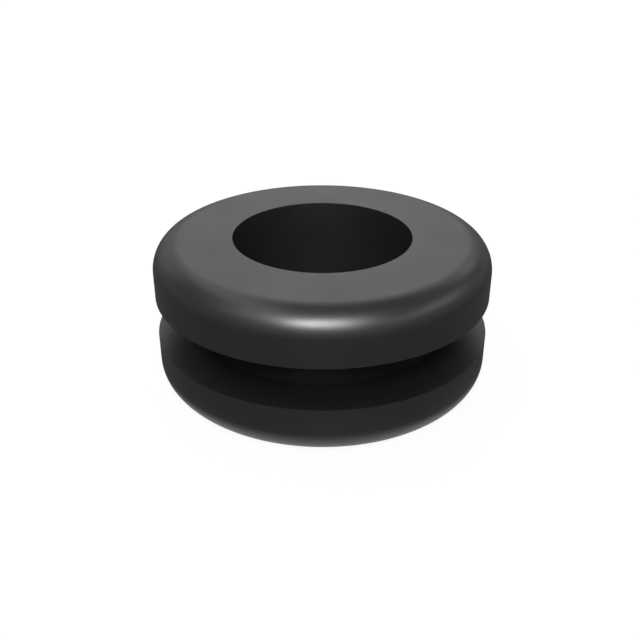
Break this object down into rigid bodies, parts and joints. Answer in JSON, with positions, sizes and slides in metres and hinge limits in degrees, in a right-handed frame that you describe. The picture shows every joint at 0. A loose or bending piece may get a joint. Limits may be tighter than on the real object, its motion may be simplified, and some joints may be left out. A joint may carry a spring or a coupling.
{
  "type": "rubber grommet",
  "caption": "Round moulded rubber ring with two round-shouldered flanges, a square groove between them that grips a panel's edge, and a straight bore for a cable.",
  "frame": {"origin": "middle of the lower flange's flat outer face, on the bore's axis", "axes": "+Z along the bore's axis, from the lower flange to the upper one"},
  "size_m": [0.0254, 0.0254, 0.0111],
  "materials": {
    "rubber": "matte"
  },
  "bodies": {
    "root": {"grommet": "rubber"}
  },
  "joints": []
}
